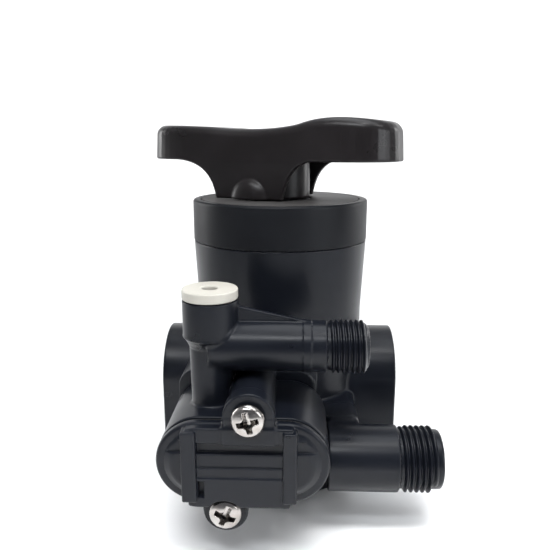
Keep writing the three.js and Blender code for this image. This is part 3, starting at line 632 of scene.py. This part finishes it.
# ---- screws and bush -----------------------------------------------------------------------
def pan_screw(at, front, turn):
    """A domed head with a cross recess, turned by an angle, and its shank."""
    def field(p):
        x, y, z = p
        u, w = x - at[0], z - at[2]
        r = hyp(u, w)
        depth = y - front
        crown = np.sqrt(u * u + w * w + (depth - 9.2) ** 2) - 9.2
        head = corner(corner(r - 4.8, depth - 3.0, 0.25), crown, 0.9)
        shank = corner(r - 1.9, span(y, front + 2.5, front + 40), 0.4)
        d = np.minimum(head, shank)
        c, s = math.cos(turn), math.sin(turn)
        a, b = u * c + w * s, w * c - u * s
        taper = 0.3 * depth
        wings = np.minimum(corner(np.abs(a) - 3.3 + taper, np.abs(b) - 0.82 + 0.08 * depth),
                           corner(np.abs(b) - 3.3 + taper, np.abs(a) - 0.82 + 0.08 * depth))
        pit = np.abs(a) + np.abs(b) - 2.4 + 0.4 * depth
        recess = corner(np.minimum(wings, pit * 0.7), depth - 3.3)
        return carve(d, recess, 0.16)
    return field


screws = []
for tag, at, turn in (("top", screw_top, 0.25), ("bottom", screw_bottom, -0.4)):
    low, high = node_box("cover_screw_" + tag)
    piece = moulded("pan_screw_" + tag, pan_screw(at, low[1], turn), low - 0.2, high + 0.2, 0.2, 24_000)
    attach(piece, "valve")
    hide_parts("cover_screw_" + tag)
    screws.append(piece)


def bush(p):
    x, y, z = p
    d = rod(p, Z, (COLUMN_X, COLUMN_Y), bush_high[0] - COLUMN_X, bush_high[2] - 3.1, bush_high[2], 0.5)
    d = weld(d, rod(p, Z, (COLUMN_X, COLUMN_Y), 5.9, bush_low[2], bush_high[2] - 2, 0.3), 0.2)
    r = hyp(x - COLUMN_X, y - COLUMN_Y)
    return carve(d, r - 2.4, 0.5)


bush_piece = moulded("nylon_bush", bush, bush_low - 0.2, bush_high + 0.2, 0.3, 20_000)
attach(bush_piece, "valve")
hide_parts("column_bush")


# ---- small round pieces that show ----------------------------------------------------------
def small_round(name, node, field, h, keep, ride_on):
    low, high = node_box(node)
    made = moulded(name, field, low - 0.2, high + 0.2, h, keep)
    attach(made, ride_on)
    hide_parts(node)
    return made


def ring_in(axis, centre, r_in, r_out, low, high, e):
    def field(p):
        u, v = [p[i] for i in range(3) if i != axis]
        return corner(span(hyp(u - centre[0], v - centre[1]), r_in, r_out), span(p[axis], low, high), e)
    return field


def base_ring(p):
    return hyp(hyp(p[0], p[1]) - 36.8, p[2] - 7.6) - 1.3


def plug(p):
    x, y, z = p
    crown = np.sqrt(x * x + y * y + (z - 127.5 + 40) ** 2) - 40
    return corner(corner(hyp(x, y) - 5.3, 124.6 - z, 0.2), crown, 0.4)


o_ring = small_round("tank_o_ring", "base_o_ring", base_ring, 0.4, 24_000, "valve")
film = small_round("dial_film", "dial_plate",
                   ring_in(Z, (0, 0), DIAL_IN, dial_high[0], dial_low[2], dial_high[2], 0.12),
                   0.25, 24_000, "valve")
plug_piece = small_round("top_plug", "handle_plug", plug, 0.25, 8_000, "handle")


# ---- materials -----------------------------------------------------------------------------
def material(name, dark, light, rough, bump=0.15, grain=1800.0, metallic=0.0, specular=0.3, drift=60.0):
    """A mottled, finely grained surface: colour and roughness drift between two near values."""
    m = bpy.data.materials.new(name)
    m.use_nodes = True
    nodes, links = m.node_tree.nodes, m.node_tree.links
    shader = nodes["Principled BSDF"]
    where = nodes.new("ShaderNodeTexCoord")
    broad = nodes.new("ShaderNodeTexNoise")
    broad.inputs["Scale"].default_value = drift
    broad.inputs["Detail"].default_value = 4
    fine = nodes.new("ShaderNodeTexNoise")
    fine.inputs["Scale"].default_value = grain
    fine.inputs["Detail"].default_value = 3
    links.new(where.outputs["Object"], broad.inputs["Vector"])
    links.new(where.outputs["Object"], fine.inputs["Vector"])
    tone = nodes.new("ShaderNodeValToRGB")
    tone.color_ramp.elements[0].position = 0.3
    tone.color_ramp.elements[0].color = (*dark, 1)
    tone.color_ramp.elements[1].position = 0.7
    tone.color_ramp.elements[1].color = (*light, 1)
    links.new(broad.outputs["Fac"], tone.inputs["Fac"])
    links.new(tone.outputs["Color"], shader.inputs["Base Color"])
    gloss = nodes.new("ShaderNodeMapRange")
    gloss.inputs["From Min"].default_value = 0.3
    gloss.inputs["From Max"].default_value = 0.7
    gloss.inputs["To Min"].default_value = rough - 0.05
    gloss.inputs["To Max"].default_value = rough + 0.05
    links.new(broad.outputs["Fac"], gloss.inputs["Value"])
    links.new(gloss.outputs["Result"], shader.inputs["Roughness"])
    raised = nodes.new("ShaderNodeBump")
    raised.inputs["Strength"].default_value = bump
    raised.inputs["Distance"].default_value = 0.0001
    links.new(fine.outputs["Fac"], raised.inputs["Height"])
    links.new(raised.outputs["Normal"], shader.inputs["Normal"])
    shader.inputs["Metallic"].default_value = metallic
    shader.inputs["Specular IOR Level"].default_value = specular
    return m


BODY_BLACK = material("body_black", (0.0036, 0.0044, 0.0068), (0.0054, 0.0064, 0.0096), 0.32, specular=0.22)
CAP_BLACK = material("cap_black", (0.0038, 0.0042, 0.0056), (0.0054, 0.0060, 0.0078), 0.42, specular=0.16)
HANDLE_BLACK = material("handle_black", (0.0082, 0.0068, 0.0072), (0.0118, 0.0098, 0.0104), 0.31,
                        specular=0.27)
NYLON = material("white_nylon", (0.35, 0.335, 0.295), (0.40, 0.385, 0.345), 0.45, 0.1)
STEEL = material("stainless_steel", (0.31, 0.285, 0.265), (0.47, 0.45, 0.43), 0.22, 0.08, 2600,
                 metallic=1, drift=260)
RUBBER = material("black_rubber", (0.010, 0.010, 0.010), (0.016, 0.016, 0.016), 0.7, 0.3)
CERAMIC = material("lapped_ceramic", (0.78, 0.76, 0.70), (0.86, 0.85, 0.80), 0.2, 0.05)
ACETAL = material("acetal", (0.66, 0.65, 0.58), (0.75, 0.74, 0.68), 0.4, 0.1)
DIAL = material("dial_film", (0.038, 0.036, 0.035), (0.050, 0.047, 0.046), 0.55, 0.1)

LOOKS = (
    (body, BODY_BLACK), (injector, BODY_BLACK), (cover, BODY_BLACK), (cap_piece, CAP_BLACK), (film, DIAL),
    (handle_piece, HANDLE_BLACK), (plug_piece, HANDLE_BLACK), (bush_piece, NYLON), (o_ring, RUBBER),
    *((screw, STEEL) for screw in screws),
)
for piece, look in LOOKS:
    piece.data.materials.append(look)

CARRIED = {
    "handle_screw": STEEL, "spindle": BODY_BLACK, "moving_disc": CERAMIC,
    "antifriction_washer": ACETAL, "fixed_disc": CERAMIC, "disc_seal": RUBBER,
    "spindle_o_ring_lower": RUBBER,
    "spindle_o_ring_upper": RUBBER, "cap_o_ring": RUBBER, "detent_ball_a": STEEL, "detent_ball_b": STEEL,
    "detent_spring_a": STEEL, "detent_spring_b": STEEL, "riser_o_ring": RUBBER,
    "cover_gasket": RUBBER, "injector_nozzle": ACETAL, "injector_throat": ACETAL,
    "injector_o_ring_left": RUBBER,
    "injector_o_ring_right": RUBBER, "drain_flow_washer": RUBBER, "brine_flow_button": RUBBER,
}
for name, look in CARRIED.items():
    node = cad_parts[name]
    for place in node.material_slots:
        place.material = look
    if not node.material_slots:
        node.data.materials.append(look)


# ---- floor, light and camera ---------------------------------------------------------------
def floor_piece():
    """A round floor that sweeps up into a wall, far outside every view."""
    base = cad_low[2] - 0.0002
    bend = np.linspace(0, math.pi / 2, 13)
    profile = [(0.0, base), (0.6, base)]
    profile += [(1.4 + 0.8 * math.sin(a), base + 0.8 * (1 - math.cos(a))) for a in bend]
    profile += [(2.2, base + 2.6)]
    around = 96
    vertices, faces = [], []
    for r, z in profile:
        for i in range(around):
            a = 2 * math.pi * i / around
            vertices.append((r * math.cos(a), r * math.sin(a), z))
    for k in range(len(profile) - 1):
        for i in range(around):
            j = (i + 1) % around
            faces.append((k * around + i, k * around + j, (k + 1) * around + j, (k + 1) * around + i))
    mesh = bpy.data.meshes.new("floor")
    mesh.from_pydata(vertices, [], faces)
    mesh.polygons.foreach_set("use_smooth", [True] * len(faces))
    obj = bpy.data.objects.new("floor", mesh)
    bpy.context.scene.collection.objects.link(obj)
    paint = bpy.data.materials.new("backdrop")
    paint.use_nodes = True
    nodes, links = paint.node_tree.nodes, paint.node_tree.links
    where, parts = nodes.new("ShaderNodeTexCoord"), nodes.new("ShaderNodeSeparateXYZ")
    along, tone = nodes.new("ShaderNodeMapRange"), nodes.new("ShaderNodeValToRGB")
    # painted shade: the floor's colour grades from dark in front (y = -2 m) to light behind (y = 0.2 m),
    # standing in for the unlit camera side of the room so that what the black plastic reflects stays dark
    along.inputs["From Min"].default_value = -2.0
    along.inputs["From Max"].default_value = 0.2
    tone.color_ramp.elements[0].color = (0.34, 0.35, 0.37, 1)
    tone.color_ramp.elements[1].color = (0.84, 0.84, 0.84, 1)
    links.new(where.outputs["Object"], parts.inputs["Vector"])
    links.new(parts.outputs["Y"], along.inputs["Value"])
    links.new(along.outputs["Result"], tone.inputs["Fac"])
    links.new(tone.outputs["Color"], nodes["Principled BSDF"].inputs["Base Color"])
    nodes["Principled BSDF"].inputs["Roughness"].default_value = 0.7
    mesh.materials.append(paint)


def area_light(name, at, target, size, power, colour=(1, 1, 1)):
    data = bpy.data.lights.new(name, "AREA")
    data.shape = "RECTANGLE"
    data.size, data.size_y = size
    data.energy = power
    data.color = colour
    obj = bpy.data.objects.new(name, data)
    bpy.context.scene.collection.objects.link(obj)
    obj.location = at
    obj.rotation_mode = "QUATERNION"
    obj.rotation_quaternion = (Vector(target) - Vector(at)).to_track_quat("-Z", "Y")
    return obj


floor_piece()
world = bpy.data.worlds.new("studio")
bpy.context.scene.world = world
world.use_nodes = True
world.node_tree.nodes["Background"].inputs["Color"].default_value = (0.93, 0.95, 1.0, 1)
world.node_tree.nodes["Background"].inputs["Strength"].default_value = 0.40
COOL = (0.94, 0.97, 1.0)
area_light("key_above_front", (-0.06, -0.42, 0.56), (0, -0.04, 0.07), (0.30, 0.07), 1.6, COOL)
area_light("overhead", (0.05, 0.02, 0.62), (0, -0.02, 0.06), (0.5, 0.3), 1.6, COOL)
area_light("left_box", (-0.55, 0.24, 0.20), (0, 0, 0.07), (0.12, 0.35), 1.0)
area_light("right_box", (0.52, 0.28, 0.22), (0, 0, 0.07), (0.12, 0.35), 0.75)
area_light("front_right", (0.42, -0.30, 0.20), (0.02, 0, 0.06), (0.25, 0.25), 0.95, COOL)
floor_wash = area_light("floor_wash", (0.02, -0.17, 0.34), (0.02, -0.15, 0), (0.30, 0.06), 0.45)
floor_wash.data.spread = math.radians(75)
floor_wash.visible_glossy = False
area_light("lamp_a", (0.10, -0.22, 0.60), (0.02, 0, 0.13), (0.03, 0.03), 0.35)
area_light("lamp_b", (0.30, -0.16, 0.52), (0.02, 0, 0.13), (0.03, 0.03), 0.3)
area_light("lamp_c", (-0.22, -0.26, 0.55), (-0.02, 0, 0.13), (0.05, 0.03), 0.3)
area_light("back_wash", (0.0, 0.7, 1.3), (0, 2.0, 0.5), (1.2, 0.4), 30)

camera_data = bpy.data.cameras.new("camera")
camera_data.sensor_width = 36
camera_data.lens = 36 * 580 / 550
camera_data.clip_start, camera_data.clip_end = 0.01, 20
camera = bpy.data.objects.new("camera", camera_data)
bpy.context.scene.collection.objects.link(camera)
camera.location = (0.0061, -0.2189, 0.1235)
camera.rotation_euler = (math.radians(77), 0, math.radians(2.1))
bpy.context.scene.camera = camera
bpy.context.scene.view_settings.view_transform = "Standard"
